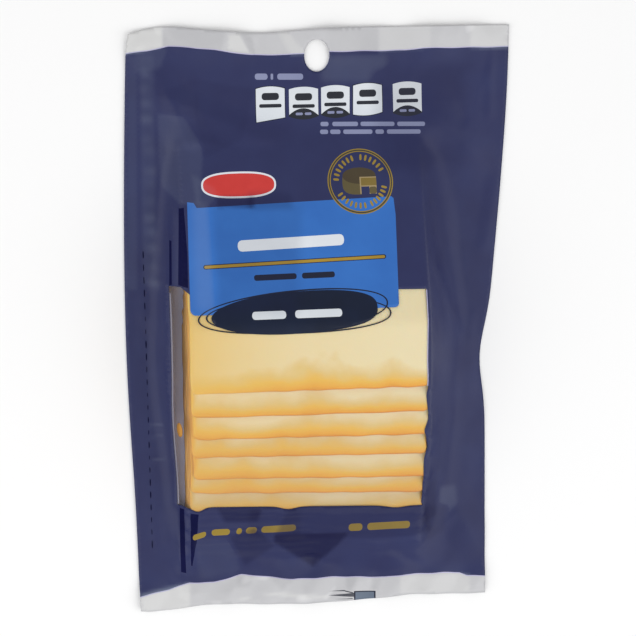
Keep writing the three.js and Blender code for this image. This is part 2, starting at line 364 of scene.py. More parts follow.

# %% [markdown]
# ## Painted shade and sheen of the film's facets
# Film breaks into flat facets, and each mirrors another part of the room. One turned from the
# lights mirrors nothing, so its ink looks almost black, and so does the depth of a pleat. Others
# look milky. Here that light is painted into the colour: the largest facets are polygons, kept as
# one number at each point of the web; above 0 it darkens the inks with painted shade, and below 0
# it turns them milky with a painted reflection.

# %% Facets of painted shade and sheen
# Painted sheen: lines that turn the ink milky along three of the strip's crimps
PAINTED_SHEEN_CREASES = [
    ((-68.2, -40), (-63, -39.2), -0.06, 0.8),
    ((-68, -44.5), (-63.2, -43.8), -0.04, 0.8),
    ((-67.6, -54), (-62.4, -53), -0.06, 0.8),
]
# How far the painted highlight on each blister turns the ink milky
PAINTED_BLISTER_HIGHLIGHT = 0.07
# For each of these facets: its depth, above 0 painted shade and below 0 painted reflection, how
# softly it ends in millimetres, and its corners clockwise
PAINTED_SHADE_AND_SHEEN_FACETS = [
    # Below the window
    (0.7, 2, [(-43.5, -72), (-25.5, -73), (-27, -79), (-31.5, -79), (-40, -79)]),
    (0.45, 2, [(-38, -85.5), (-28, -81.5), (-19.5, -90.5), (-31.5, -98.5)]),
    (0.36, 2.5, [(-14.5, -72.5), (40.5, -76), (45, -88), (31, -89.5), (8, -88.5), (-20, -86)]),
    (0.85, 1.8, [(-19.5, -85.5), (9.5, -86), (8, -89), (-3.5, -101), (-20.5, -88.5)]),
    (0.35, 2.5, [(39.8, -66), (46, -66), (46.5, -82), (40.5, -84)]),
    (-0.06, 2.5, [(48, -70), (55, -70), (56, -80), (48, -86)]),
    (0.3, 3, [(40.5, -76), (51.5, -79), (50.5, -89), (42.5, -92)]),
    (0.25, 4, [(-30.5, -73), (-10.5, -74), (-9.5, -88.5), (-30, -87)]),
    (-0.03, 3, [(-52, -86), (-37, -87), (-33.5, -100.5), (-49.5, -103.5)]),
    # Left of the label and above it
    (-0.04, 1.5, [(-70.5, 108.5), (-58, 108), (-61, 100), (-70.5, 98.5)]),
    (-0.05, 1.5, [(-62.5, 82.5), (-53, 81.5), (-45.5, 68.5), (-48, 48), (-55, 48), (-62, 55)]),
    (0.16, 1.5, [(-62, 91), (-47, 95.5), (-47, 80.5), (-61.5, 84)]),
    (0.16, 1.5, [(-47, 95.5), (-24.5, 91), (-30, 72), (-44.5, 65.5), (-48, 80.5)]),
    (0.55, 1.5, [(-41, 50.8), (-27, 50.4), (-27, 46), (-41.5, 47)]),
    (0.35, 4, [(-29, 52), (-12, 51.5), (-12, 45.5), (-29, 46)]),
    (0.2, 6, [(-44, 48), (-8, 48), (-12, 6), (-43, 6)]),
    (-0.05, 2, [(-50.5, 59.5), (-41.5, 53.5), (-41.5, 47.5), (-49, 47)]),
    (-0.1, 6, [(-51, 48), (-42.5, 47.5), (-44, 8), (-52, 8.5)]),
    (-0.035, 1.5, [(-73.5, 105.5), (-70, 105), (-72, 14), (-76, 14.5)]),
    (-0.03, 2, [(-69, 105), (-63.5, 105), (-64.5, 16), (-69.5, 16)]),
    # Right of the print and of the window
    (0.25, 8, [(23, 96), (60, 100), (60, 60), (23, 58)]),
    (-0.07, 4, [(1, 103.5), (28, 103.5), (27, 93), (2, 93.5)]),
    (0.2, 6, [(54, -80), (70, -78), (68, -103), (50, -104)]),
    # The welded ends
    (-0.35, 1.2, [(-74, 115), (-60, 116.5), (-60, 108), (-74.5, 105.5)]),
    (-0.3, 1, [(-34.5, 112.5), (-30, 112.5), (-26, 105), (-35, 106.5)]),
    (0.22, 1, [(-30, 112.5), (-25.5, 111.5), (-24, 104.5), (-26, 105)]),
    (-0.2, 1.5, [(-15.5, 113.5), (-11.5, 113.5), (-4.5, 104.5), (-10, 104)]),
    (0.14, 1.5, [(-59.5, 116.5), (-36, 114), (-37, 106.5), (-60, 108)]),
    (-0.14, 1.5, [(24.5, 115), (45, 115.5), (45, 106), (24.5, 104.5)]),
    (-0.2, 1.5, [(61, 115.5), (76.5, 115.5), (76.5, 105), (61, 105.5)]),
    (0.1, 2, [(5, 114.5), (24.5, 115), (24.5, 104.5), (5, 104.5)]),
    (-0.3, 2, [(-73.5, -108), (-53.5, -104.5), (-54, -115), (-73, -115)]),
    (0.2, 2.5, [(-35, -102), (-27, -102), (-29.5, -108), (-34.5, -107.5)]),
    (0.2, 2.5, [(-22, -103.5), (-10.5, -105), (-16.5, -110)]),
    (0.25, 2, [(9.5, -106), (14.5, -106.5), (12, -112.5), (10, -112)]),
    (0.22, 2, [(20.5, -106.5), (24.5, -107), (22.5, -112), (20, -112)]),
    (-0.25, 1, [(-41.5, -108.5), (-30.5, -112), (-24.5, -112), (-24.5, -113.5), (-31.5, -113),
                  (-41.5, -110)]),
    (-0.25, 1, [(-24.5, -109.5), (-9.5, -111.5), (3, -112.5), (3, -114), (-10, -113.5), (-24.5, -111)]),
    (-0.2, 1.5, [(32, -106.5), (61, -107.5), (61, -115), (32, -114)]),
]


def painted_shade_and_sheen_at(x, y):
    """Sums the facets' painted shade and reflection, and the painted sheen of crease lines and blisters."""
    total = sum(fold(x, y, a, b, depth, width) for a, b, depth, width in PAINTED_SHEEN_CREASES)
    total = total - PAINTED_BLISTER_HIGHLIGHT * blister_at(x, y)
    for depth, soft, corners in PAINTED_SHADE_AND_SHEEN_FACETS:
        inside = np.ones_like(x)
        for (ax, ay), (bx, by) in zip(corners, corners[1:] + corners[:1]):
            across = ((bx - ax) * (y - ay) - (by - ay) * (x - ax)) / math.hypot(bx - ax, by - ay)
            inside = inside * smooth(0.5 - across / soft)
        total = total + depth * inside
    return np.clip(total, -1, 1)


print("crease lines:", len(PAINTED_SHEEN_CREASES), "and facets:", len(PAINTED_SHADE_AND_SHEEN_FACETS))

# %% [markdown]
# ## Colours
# Designers pick colours as sRGB hex values, and Blender's shaders work in linear light. One
# function turns one into the other, so the palette below can be read as it would be printed.


# %% Helpers for materials
def linear(hexa, alpha=1.0):
    """The linear colour that a shader works with, from an sRGB hex value."""
    parts = [int(hexa[i:i + 2], 16) / 255 for i in (1, 3, 5)]
    return [p / 12.92 if p <= 0.04045 else ((p + 0.055) / 1.055) ** 2.4 for p in parts] + [alpha]


def add(tree, kind, inputs=None, **settings):
    """Adds a node with its settings. Each input gets an output, a node's first output or a constant."""
    node = tree.nodes.new(kind)
    for name, value in settings.items():
        setattr(node, name, value)
    for name, given in (inputs or {}).items():
        source = given.outputs[0] if isinstance(given, bpy.types.Node) else given
        if isinstance(source, bpy.types.NodeSocket):
            tree.links.new(source, node.inputs[name])
        else:
            node.inputs[name].default_value = source
    return node


def new_material(name):
    """Gives the material, its empty node tree and the place on the object that textures go by."""
    material = bpy.data.materials.new(name)
    material.use_nodes = True
    tree = material.node_tree
    tree.nodes.clear()
    return material, tree, add(tree, "ShaderNodeTexCoord").outputs["Object"]


def ramp(tree, source, stops):
    """A colour ramp with these stops, as pairs of a place from 0 to 1 and a colour."""
    node = add(tree, "ShaderNodeValToRGB", {"Fac": source})
    elements = node.color_ramp.elements
    while len(elements) < len(stops):
        elements.new(0.5)
    for element, (place, color) in zip(elements, stops):
        element.position = place
        element.color = linear(color)
    return node


def attribute(tree, name):
    return add(tree, "ShaderNodeAttribute", attribute_name=name).outputs["Fac"]


def noise(tree, place, scale, detail, kind="FBM"):
    inputs = {"Vector": place, "Scale": scale, "Detail": detail}
    return add(tree, "ShaderNodeTexNoise", inputs, noise_type=kind)


def blended(tree, color, amount, hexa):
    """A colour mixed towards another. The sockets 6, 7 and 2 are the mix node's colours."""
    inputs = {"Factor": amount, 6: color, 7: linear(hexa)}
    return add(tree, "ShaderNodeMix", inputs, data_type="RGBA").outputs[2]


def surface(tree, inputs):
    add(tree, "ShaderNodeOutputMaterial", {"Surface": add(tree, "ShaderNodeBsdfPrincipled", inputs)})


print("the navy ink in linear light:", [round(part, 3) for part in linear("#2c325b")])

# %% [markdown]
# ## Printed film
# The web is a laminate of oriented polyester over polyethylene, reverse printed by gravure. The
# ink is seen through the clear outer ply, so the colours share one satin gloss. A slow noise
# stands for the film's tiny buckles, and a faint mottle for the ink lay.


# %% Ink on film
def with_painted_shade_and_sheen(tree, color, shadow, shine):
    """Mixes in a painted shadow where the facets' number is above 0, and a painted shine where below."""
    for times, hexa in ((0.85, shadow), (-1.0, shine)):
        amount = add(tree, "ShaderNodeMath", {0: attribute(tree, "painted_shade_and_sheen"), 1: times},
                     operation="MULTIPLY", use_clamp=True)
        color = blended(tree, color, amount, hexa)
    return color


FILM_IOR = 1.5


def ink_on_film(name, color, deep, roughness=0.36, gloss=0.25):
    """Gives a satin colour with a faint mottle, and the facets' painted shade or painted reflection."""
    material, tree, place = new_material(name)
    ink = ramp(tree, noise(tree, place, 60.0, 3.0), [(0.3, deep), (0.7, color)])
    # The facets' painted shade is a near-black navy, and their painted reflection a milky blue-grey
    tint = with_painted_shade_and_sheen(tree, ink, "#000034", "#a4b0c2")
    surface(tree, {"Base Color": tint, "Normal": buckled(tree, place), "Roughness": roughness,
                   "IOR": FILM_IOR, "Specular IOR Level": gloss})
    return material


def buckled(tree, place, scales=((150.0, 0.3), (45.0, 0.8)), strength=0.3, kind="FBM"):
    """Bumps for the film's small buckles, as pairs of a noise scale and a height in millimetres."""
    below = {}
    for scale, height in scales:
        inputs = {"Height": noise(tree, place, scale, 2.0, kind), "Distance": height * MM}
        below = {"Normal": add(tree, "ShaderNodeBump", inputs | {"Strength": strength} | below)}
    return below["Normal"]


def clear_film(name, tint, shade, alpha, roughness, scales=((150.0, 0.3),), strength=0.3, kind="FBM"):
    """Gives see-through film: a colour ramp along a noise, and the facets' painted shade and sheen."""
    material, tree, place = new_material(name)
    color = ramp(tree, noise(tree, place, 110.0, 4.0, kind), [(0.3, shade), (0.65, tint)])
    # The facets' painted shade and painted reflection on the clear film
    color = with_painted_shade_and_sheen(tree, color, "#84848a", "#fbfbf6")
    surface(tree, {"Base Color": color, "Normal": buckled(tree, place, scales, strength, kind),
                   "Roughness": roughness, "IOR": FILM_IOR, "Alpha": alpha})
    return material


# Each ink as it is printed, and as it looks where it lies a little thicker. Three are not print:
# the pleats' ink is painted shade, the slits' near-black is painted shade inside the cuts, and the
# line along the window's left side is a painted highlight. A pleat and a slit are almost without
# gloss, because they mirror nothing.
INK_COLORS = {
    "navy": ("#2c325b", "#282c54"),
    "slit": ("#0a0c34", "#080a2c", 0.6, 0.05),
    "pleat": ("#11133e", "#0d0f36", 0.6, 0.05),
    "blue": ("#3571c1", "#3069b8"),
    "gold": ("#ab8b34", "#9c7d2b"),
    "old_gold": ("#9c8436", "#8c752c"),
    "ring": ("#3e3a38", "#363230"),
    "dark": ("#0c1b37", "#08142b"),
    "charcoal": ("#272a33", "#20232c"),
    "line": ("#1a2036", "#151b2e"),
    "pale": ("#dde1e6", "#d1d7de"),
    "grey": ("#8b90b0", "#8187a8"),
    "wheel_top": ("#4a412f", "#43392a"),
    "wheel_side": ("#61573a", "#574e33"),
    "wedge": ("#7f6c37", "#76632f"),
    "cut_line": ("#a3906a", "#97845e"),
    "haze": ("#8f8d99", "#817f8d"),
    "underprint": ("#bab6d2", "#aeaac8"),
    "smear": ("#c98f3c", "#bb8233"),
    "red": ("#cf3f3b", "#c23632"),
    "white": ("#e3e7ed", "#dadfe6"),
    "mark": ("#6c7889", "#616d7e"),
    "streak": ("#50525a", "#46484f"),
}
INKS = {ink: ink_on_film(f"{ink}_ink_on_film", *colors) for ink, colors in INK_COLORS.items()}
SEAL_CREASES = ((150.0, 0.4), (60.0, 1.2), (28.0, 1.8))
# On the welded ends the ramp paints highlights on the ridges of a crease noise, over a painted shade
INKS["seal"] = clear_film("clear_welded_film", "#efeff1", "#d0d0d3", 0.8, 0.26, SEAL_CREASES, 0.9,
                          "RIDGED_MULTIFRACTAL")
INKS["clear"] = clear_film("clear_window_film", "#8d8a88", "#858381", 0.05, 0.12)
print("inks:", ", ".join(INKS))

# %% [markdown]
# ## The print as shapes
# Every field of colour is an outline in the plane of the pouch: rounded bars, ovals and rings.
# The print could be painted by a shader, but cutting the film's mesh along each outline gives an
# edge that is sharp at any distance. Later shapes lie over earlier ones.


# %% Outlines of the print
def bar(x0, y0, x1, y1, radius, steps=4, slope=0.0):
    """A rectangle with round corners, sheared upwards to the right by slope."""
    radius = min(radius, abs(x1 - x0) / 2.01, abs(y1 - y0) / 2.01)
    points = []
    for cx, cy, from_angle in ((x1 - radius, y0 + radius, -90), (x1 - radius, y1 - radius, 0),
                               (x0 + radius, y1 - radius, 90), (x0 + radius, y0 + radius, 180)):
        for step in range(steps + 1):
            angle = math.radians(from_angle + 90 * step / steps)
            x = cx + radius * math.cos(angle)
            points.append((x, cy + radius * math.sin(angle) + slope * (x - x0)))
    return points


def oval(x, y, rx, ry, turn=0.0, count=72, power=2.0, left_power=None):
    """An oval, turned in degrees. Above 2 a power squares its ends, and its left end can have its own."""
    t = math.radians(turn)
    points = []
    for step in range(count):
        a = 2 * math.pi * step / count
        c, s = math.cos(a), math.sin(a)
        part = 2 / (left_power if left_power and c < 0 else power)
        px, py = rx * math.copysign(abs(c) ** part, c), ry * math.copysign(abs(s) ** part, s)
        points.append((x + px * math.cos(t) - py * math.sin(t), y + px * math.sin(t) + py * math.cos(t)))
    return points


def shape(ink, outline, hole=None):
    return {"ink": ink, "outline": outline, "hole": hole}


def polygon(*points):
    return [(float(x), float(y)) for x, y in points]


def strip(x0, y0, x1, y1):
    """The field between two lines of points: there along the first and back along the second."""
    return polygon(*zip(x0, y0), *zip(x1[::-1], y1[::-1]))


def pouch_outline():
    """The pouch's outline counter-clockwise, from its lower left corner."""
    low, high = -PACK_LENGTH / 2, PACK_LENGTH / 2
    low_left, low_right, high_right, high_left = left_at(low), right_at(low), right_at(high), left_at(high)

    def run(a, b):
        return a + (b - a) * np.linspace(0, 1, 90, endpoint=False)

    bottom_x, top_x = run(low_left, low_right), run(high_right, high_left)
    right_y = run(bottom_at(low_right), top_at(high_right))
    left_y = run(top_at(high_left), bottom_at(low_left))
    return polygon(*zip(bottom_x, bottom_at(bottom_x)), *zip(right_at(right_y), right_y),
                   *zip(top_x, top_at(top_x)), *zip(left_at(left_y), left_y))


# Where the print ends towards the seals, as places across and along the pouch
NAVY_TOP = [(-80, 105), (-74, 105.8), (-66, 106.5), (-58, 108.2), (-50, 107.7), (-40, 106.5), (-26, 104.3),
            (-12, 104.1), (4, 105), (35, 105), (42, 105.8), (80, 105.6)]
NAVY_BOTTOM = [(-80, -110), (-73, -108.7), (-62, -106.8), (-54, -104.4), (-44, -104.8), (-33, -102.2),
               (-26, -103.2), (-12, -105.5), (5, -105.4), (26, -106.8), (34, -106.1), (50, -106.3),
               (57, -106.8), (60, -108.2), (80, -109)]


def navy_field(out=0.0):
    """The print stops short of both ends, along a line that wavers with the film."""
    x = np.linspace(-80, 80, 160)
    low = np.interp(x, *zip(*NAVY_BOTTOM)) + 0.12 * np.sin(x / 1.9) - out
    high = np.interp(x, *zip(*NAVY_TOP)) + 0.1 * np.sin(x / 2.3) + out
    return strip(x, low, x, high)


# How far across the window's right edge lies, as places along and across the pouch
WINDOW_RIGHT = [(-76, 38.9), (-64, 38.8), (-53, 38.8), (-49.7, 40), (-46, 39), (-43, 38), (-38, 39.7),
                (-34, 38.9), (-28, 38.3), (-21, 38.7), (-14, 38.5), (14, 39)]
# The window's lower edge, and where it dips, how far and how widely
WINDOW_LOW, WINDOW_SLOPE = -73.7, -0.0427
WINDOW_DIPS = [(-51, -1.8, 2.8), (-15, -1.1, 4), (28.5, -0.9, 5)]


def window_left_at(y, at=-60.2, slip=1.9, slip_from=-28, slip_run=42):
    """The window's left edge. It slips inwards towards its lower end."""
    return at + slip * smooth((slip_from - y) / slip_run)


def window_field():
    """The clear window. The film's creases pull its lower and right edges out of true."""
    y = np.linspace(-71.5, 16.4, 60)
    left = window_left_at(y)
    right_y = np.linspace(-75.4, 13.6, 90)
    right = np.interp(right_y, *zip(*WINDOW_RIGHT))
    x = np.linspace(-57.9, 39.6, 80)
    low = WINDOW_LOW + WINDOW_SLOPE * x + waved(x, WINDOW_DIPS)
    top = [(27.0, 13.9), (-53.4, 14.4), (-56.5, 17.0)]
    return polygon(*zip(x, low), *zip(right[1:], right_y[1:]), *top, *zip(left[::-1], y[::-1]))


print("points of the window's outline:", len(window_field()))


# %% Shapes of the label and its oval
def label_field():
    """The label hangs into the window. Its upper left corner is turned down with the film."""
    a = np.linspace(0, math.pi / 2, 6)
    low_left = zip(-51.7 - 2.2 * np.cos(a), 9.1 - 2.2 * np.sin(a))
    low_right = zip(25.9 + 1.6 * np.sin(a), 8.8 - 1.6 * np.cos(a))
    top = [(28.6, 42), (28.2, 48.2), (27.4, 48.9), (-18.6, 47.6), (-49.2, 46.7), (-50.3, 48.6)]
    return polygon((-52.8, 49), *low_left, *low_right, *top)


def bars(ink, y, height, spans, slope=0):
    """A row of bars, each from one x to another, that stand in for small print."""
    rows = [(a, b, y + slope * (a - spans[0][0])) for a, b in spans]
    return [shape(ink, bar(a, middle - height / 2, b, middle + height / 2, 0.4 * height, 3, slope))
            for a, b, middle in rows]


def label_shapes():
    shapes = [shape("blue", label_field())]
    shapes += bars("white", 32, 4.2, [(-34.2, 7.5)], 0.03)
    shapes.append(shape("line", bar(-48, 23.75, 23.7, 25.45, 0.85, slope=0.024)))
    shapes.append(shape("gold", bar(-47.6, 24.05, 23.3, 25.15, 0.55, slope=0.024)))
    shapes += bars("line", 20, 2.2, [(-28.6, -12), (-9.9, 3)], 0.01)
    for x, y, rx, ry, turn in ((-14, 7.1, 37.3, 7.8, 3.3), (-11.9, 5.5, 36.2, 6.9, -0.3)):
        shapes.append(shape("line", *(oval(x, y, rx - inner, ry - lower, turn, 80, 2.2, 2)
                                      for inner, lower in ((0, 0), (0.6, 0.55)))))
    shapes.append(shape("dark", oval(-13.5, 6.5, 32.5, 7.9, 2, 80, 2.7, 2)))
    return shapes + bars("pale", 6, 3, [(-30.2, -17), (-13.5, 4.9)], 0)


print("shapes of the label:", len(label_shapes()))


# %% Shapes of the tabs, the badge and the small print
# Each tab's left and right side, top, the left and right end of its foot, and how far the foot arches
TABS = [
    (-24.1, -12.8, 91.2, 78.3, 80, 0),
    (-11.1, 0.4, 90.8, 80.9, 80.6, 2.6),
    (1.6, 12.8, 91.2, 80.9, 80.9, 2.7),
    (14.2, 25.7, 91.7, 80.5, 81.3, -0.8),
    (30.1, 41.6, 92, 81.2, 81, 2.5),
]


def tab_shapes(left, right, top, left_foot, right_foot, arch):
    """A tab with an arched top. Under a foot that arches up there is a dark cap with grey bars."""
    t = np.linspace(0, 1, 13)
    hump = 4 * t * (1 - t)

    def field(low, high, out):
        x = np.linspace(left - out, right + out, 13)
        return strip(x, low, x, high)

    def tab_field(out):
        foot = left_foot + (right_foot - left_foot) * t - out
        return field(foot + arch * hump, top + 0.9 * hump + out, out)

    low, middle = min(left_foot, right_foot), (left + right) / 2
    if arch > 0:
        shapes = [shape("charcoal", field(low - 0.3 - 1.3 * hump, low + 0.2 + arch * hump, 0.2))]
        shapes += bars("grey", low + 0.6, 1, [(middle - 3.2, middle - 0.4), (middle + 0.4, middle + 3)])
    else:
        shapes = [shape("line", tab_field(0.3))]
    shapes.append(shape("pale", tab_field(0.0)))
    for down, height, half in ((3.0, 2.8, 3.4), (6.6, 1.4, 4.4)):
        shapes += bars("charcoal", top - down, height, [(middle - half, middle + half)])
    return shapes


BADGE = (15.5, 54.9)
# The wedge and the cut that it leaves, as bars from the badge's middle: ink, corners and radius
CUT_IN_WHEEL = [
    ("cut_line", -0.3, -4.8, 6.3, 1.7, 0.1), ("wedge", 0.2, -1.6, 6.3, 1.3, 0.1),
    ("wheel_side", 3.4, -4.8, 6.3, -2.1, 0.8), ("navy", 0.2, -5.4, 3.4, -2, 0.1),
]


def badge_shapes():
    """A gold ring, radial marks in two arcs, and a wheel of cheese with a wedge cut out."""
    x, y = BADGE
    shapes = [shape("ring", oval(x, y, 12.9, 12.4), oval(x, y, 11.9, 11.4))]
    for rx, wide in ((13.0, 0.4), (12.1, 0.35)):
        shapes.append(shape("old_gold", *(oval(x, y, r, 0.957 * r) for r in (rx, rx - wide))))
    for from_angle, to_angle, count in ((174, 107, 7), (86, 28, 6), (211, 278, 7), (294, 345, 6)):
        for angle in np.linspace(from_angle, to_angle, count):
            a = math.radians(angle)
            place = (x + 9.6 * math.cos(a), y + 9.2 * math.sin(a))
            shapes.append(shape("old_gold", oval(*place, 1.15, 0.45, angle, 16, 3.0)))
    for ink, up, rx, ry, power in (("wheel_side", -0.4, 6.8, 4.6, 3.0), ("wheel_top", 2.2, 6.6, 3.1, 2.0)):
        shapes.append(shape(ink, oval(x - 0.4, y + up, rx, ry, 0.0, 40, power)))
    for ink, x0, y0, x1, y1, radius in CUT_IN_WHEEL:
        shapes.append(shape(ink, bar(x + x0, y + y0, x + x1, y + y1, radius)))
    return shapes


# Each line of small print: its ink, height up the pouch, thickness, spans across and slope
SMALL_PRINT = [
    ("grey", 96, 2.4, [(-24.4, -19.4), (-18.2, -17.2), (-15.6, -5.4)], -0.02),
    ("grey", 77.1, 1.7, [(1.1, 4.3), (5.8, 16), (17, 30.5), (31.6, 42.7)], -0.02),
    ("grey", 74.1, 1.7, [(0.8, 4), (4.8, 8.9), (10, 21.6), (22.8, 26.2), (27.4, 40.9)], -0.02),
    ("old_gold", -83, 3, [(-45.2, -38), (-35.4, -33.2), (-31.6, -27.2), (-25.4, -11.6)], 0.012),
    ("old_gold", -85, 2.6, [(-52.6, -47.4)], 0.3),
    ("old_gold", -83.6, 3.2, [(9.7, 15.3), (17.3, 34.7)], 0),
]


def small_print():
    shapes = [each for line in SMALL_PRINT for each in bars(*line)]
    for ink, rx, ry in (("white", 14.6, 5.0), ("red", 13.9, 4.3)):
        shapes.append(shape(ink, oval(-32.4, 54.9, rx, ry, power=2.6)))
    return shapes


# The mark that the packing machine reads, and the streaks that the press left beside it
EYE_MARK = [
    ("line", [(12.9, -117), (21.9, -116.5), (21.9, -112.5), (12.9, -111.9)]),
    ("mark", [(13.5, -117), (21.3, -116.5), (21.3, -112.9), (13.5, -112.4)]),
    ("streak", [(2.4, -111.3), (8.7, -111.7), (12.5, -112.8), (12.5, -112.4), (8.7, -111.2)]),
    ("streak", [(2.2, -113), (12.9, -114.3), (12.9, -112.6)]),
    ("streak", [(4.6, -114.7), (12.3, -115.2), (12.3, -114.8)]),
]


def window_edge():
    """A fine painted highlight at the window's left side, white underprint at its right, and a dye smear."""
    y = np.linspace(-71.0, 13.8, 50)
    x = window_left_at(y, -60.1)
    smear = oval(-57.5, -40.0, 0.85, 2.9, 4.0, 24)
    right_y = np.linspace(-24.0, 13.4, 20)
    right = np.interp(right_y, *zip(*WINDOW_RIGHT))
    # The line at the left side is a painted highlight on the film's edge there
    return [shape("haze", strip(x + 0.5, y, x, y)), shape("smear", smear),
            shape("underprint", strip(right, right_y, right - 0.35, right_y))]


# Corners of the painted shade in the narrow pleats, counter-clockwise
PAINTED_PLEAT_SHADES = [
    [(-57, -100), (-55, -100.5), (-56, -72.6), (-57.4, -72.6)],
    [(-53, -97.5), (-52.5, -97.5), (-51, -86), (-50.7, -74.4), (-53.8, -73.9)],
    [(-57.2, 17.4), (-54.2, 17.2), (-53.8, 30), (-54.2, 47), (-55.8, 46.6)],
    [(-60, 16.6), (-59.2, 17), (-58.7, 33.8), (-59.4, 34)],
]


def print_shapes():
    shapes = [shape("underprint", navy_field(0.4)), shape("navy", navy_field())]
    shapes += [shape("clear", window_field())] + window_edge()
    shapes += [shape("pleat", polygon(*corners)) for corners in PAINTED_PLEAT_SHADES]
    shapes += label_shapes() + badge_shapes()
    for tab in TABS:
        shapes += tab_shapes(*tab)
    return shapes + small_print() + [shape(ink, polygon(*corners)) for ink, corners in EYE_MARK]


print("print shapes:", len(print_shapes()))

# %% [markdown]
# ## Cutting the web into its print
# A constrained Delaunay triangulation joins a staggered net of points with all the outlines, and
# tells which outlines hold each triangle. The topmost shape gives the triangle its ink. Then the
# points are lifted on to the draped web, and a thin wall makes it a closed sheet.

# %% Triangulate the web
NET, ROW_PITCH = 1.25, 0.87
# The film falls steeply beside the stack's left wall, so the net is doubled there
WALL = (-61, -50)
# How near to the rim and to the outlines' points the net may come, in steps of the net
NEAR_RIM, NEAR_POINT = 0.4, 0.45
HANG_HOLE = (0.0, 103.7, 9.9 / 2, 12.5 / 2)


def net_points(step):
    """A staggered net of points over the whole pouch."""
    rows = np.arange(-PACK_LENGTH / 2 - 2, PACK_LENGTH / 2 + 2, step * ROW_PITCH)
    points = []
    for number, y in enumerate(rows):
        x = np.arange(-80, 80, step) + (step / 2 if number % 2 else 0)
        points += [(float(a), float(y)) for a in x]
    return points + [(float(a) + step / 4, float(y) + 0.2 * step) for y in rows
                     for a in np.arange(*WALL, step)]


def inside_pouch(x, y, gap):
    return (left_at(y) + gap < x) & (x < right_at(y) - gap) & (bottom_at(x) + gap < y) & (y < top_at(x) - gap)


def spaced(outline, step):
    """An outline's points, with more along its long straight sides so that they follow the drape."""
    result = []
    for (ax, ay), (bx, by) in zip(outline, outline[1:] + outline[:1]):
        parts = max(1, math.ceil(math.hypot(bx - ax, by - ay) / step))
        result += [(ax + (bx - ax) * i / parts, ay + (by - ay) * i / parts) for i in range(parts)]
    return result


def cut_web(shapes, step):
    """Triangles of the pouch's plane, each with the number of the topmost shape that covers it."""
    owners = [("rim", None), ("hang_hole", None)]
    outlines = [spaced(pouch_outline(), step), oval(*HANG_HOLE, count=48)]
    for number, each in enumerate(shapes):
        for role in ("outline", "hole"):
            if each[role]:
                owners.append((role, number))
                outlines.append(spaced(each[role], step))
    points, faces = [], []
    for outline in outlines:
        faces.append(list(range(len(points), len(points) + len(outline))))
        points += outline
    tree = kdtree.KDTree(len(points))
    for number, (x, y) in enumerate(points):
        tree.insert((x, y, 0), number)
    tree.balance()
    net = [(x, y) for x, y in net_points(step) if inside_pouch(x, y, NEAR_RIM * step)
           and tree.find((x, y, 0))[2] > NEAR_POINT * step]
    verts, _, triangles, _, _, held = delaunay_2d_cdt(
        [Vector(point) for point in points + net], [], faces, 1, 1e-4, True)
    regions, kept = [], []
    for triangle, holders in zip(triangles, held):
        roles = [owners[h] for h in holders]
        if ("rim", None) not in roles or ("hang_hole", None) in roles:
            continue
        covered = [n for role, n in roles if role == "outline" and ("hole", n) not in roles]
        regions.append(max(covered) if covered else -1)
        kept.append(triangle)
    return np.array([(v.x, v.y) for v in verts]), kept, regions


shapes = print_shapes()
flat_points, triangles, regions = cut_web(shapes, NET)
print("web:", len(flat_points), "points,", len(triangles), "triangles")


# %% Make the web's meshes
FRONT_GAUGE, BACK_GAUGE = 0.12, 0.15


def mesh_object(name, points, faces, materials, indices=None, smooth_shaded=True):
    """A mesh in metres from points in millimetres."""
    used = sorted({i for face in faces for i in face})
    renumber = {old: new for new, old in enumerate(used)}
    mesh = bpy.data.meshes.new(name)
    mesh.from_pydata([tuple(points[i][k] * MM for k in range(3)) for i in used], [],
                     [[renumber[i] for i in face] for face in faces])
    for material in materials:
        mesh.materials.append(material)
    if indices is not None:
        mesh.polygons.foreach_set("material_index", indices)
    mesh.polygons.foreach_set("use_smooth", [smooth_shaded] * len(faces))
    mesh.validate()
    mesh.update()
    return linked(name, mesh)


def linked(name, data):
    obj = bpy.data.objects.new(name, data)
    bpy.context.scene.collection.objects.link(obj)
    return obj


def keep_numbers(obj, name, values):
    """Keeps one number at each of the object's points, which its materials can read."""
    obj.data.attributes.new(name, "FLOAT", "POINT").data.foreach_set("value", values.astype(np.float32))


def bake_modifiers(obj):
    """Turns the object's evaluated shape into its plain mesh."""
    depsgraph = bpy.context.evaluated_depsgraph_get()
    mesh = bpy.data.meshes.new_from_object(obj.evaluated_get(depsgraph))
    obj.modifiers.clear()
    old, obj.data = obj.data, mesh
    bpy.data.meshes.remove(old)
    return obj


def thicken(obj, gauge):
    """Gives an open sheet its gauge, upwards, with a closed rim."""
    wall = obj.modifiers.new("gauge", "SOLIDIFY")
    wall.thickness = gauge * MM
    wall.offset = 1.0
    wall.use_even_offset = False
    return bake_modifiers(obj)


def front_part(name, wanted):
    """The front web's triangles whose ink is wanted, laid on the drape and given the web's gauge."""
    inks = [shapes[region]["ink"] if region >= 0 else "seal" for region in regions]
    chosen = [(triangle, ink) for triangle, ink in zip(triangles, inks) if wanted(ink)]
    names = sorted({ink for _, ink in chosen})
    points = np.column_stack([flat_points, sample(front_field, flat_points[:, 0], flat_points[:, 1])])
    obj = mesh_object(name, points, [triangle for triangle, _ in chosen], [INKS[ink] for ink in names],
                      [names.index(ink) for _, ink in chosen])
    places = np.array([vertex.co[:2] for vertex in obj.data.vertices]) / MM
    # The facets' painted shade and sheen, kept as one number at each point
    keep_numbers(obj, "painted_shade_and_sheen", painted_shade_and_sheen_at(places[:, 0], places[:, 1]))
    return thicken(obj, FRONT_GAUGE)


printed = front_part("printed_web", lambda ink: ink != "clear")
window = front_part("window_web", lambda ink: ink == "clear")
print("printed film:", len(printed.data.polygons), "faces; window:", len(window.data.polygons))

# %% [markdown]
# ## Perforation
# A row of slits lets the shopper tear the end open. Modelling each by hand would be slow to change,
# so a node tree sets an oval at every step of a curve, each a little longer or shorter. The path is
# drawn on the film first, and the slits follow its slope.


